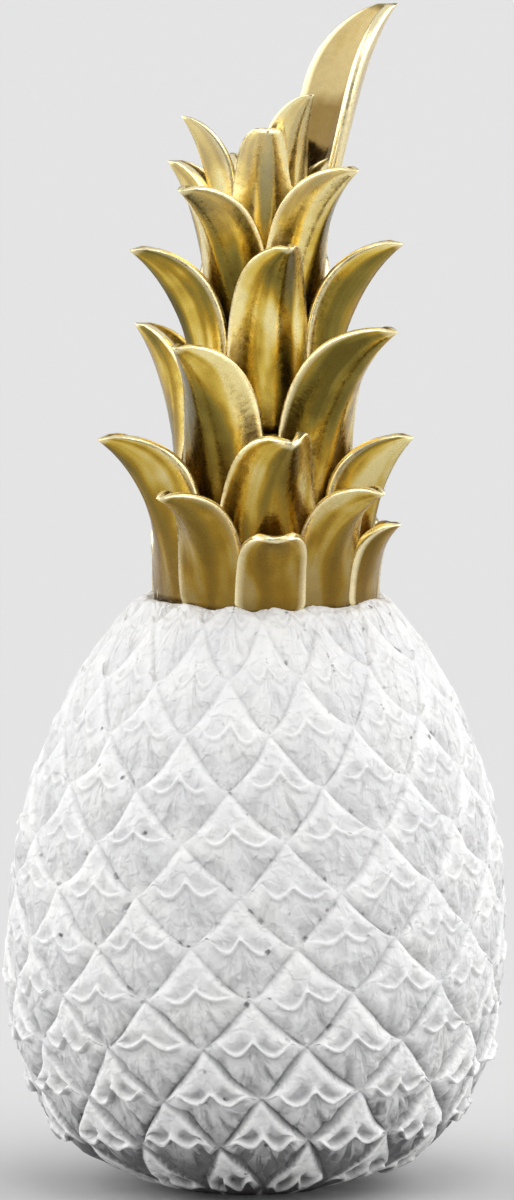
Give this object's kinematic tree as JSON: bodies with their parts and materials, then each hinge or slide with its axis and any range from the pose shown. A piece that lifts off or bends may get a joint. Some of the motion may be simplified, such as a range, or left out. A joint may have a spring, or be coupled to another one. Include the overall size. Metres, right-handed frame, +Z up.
{
  "type": "decorative pineapple",
  "caption": "Table-top pineapple ornament: a plump white fruit body covered in diamond-shaped scales, under a tall gold crown of curled leaves.",
  "frame": {"origin": "centre of the flat foot, on the surface that the ornament stands on", "axes": "+Z up through the crown, -Y towards the side seen in the picture"},
  "size_m": [0.0953, 0.0955, 0.2247],
  "materials": {
    "white_resin": "matte",
    "antique_gold": "satin"
  },
  "bodies": {
    "root": {"fruit_body": "white_resin", "leaf_crown": "antique_gold"}
  },
  "joints": []
}
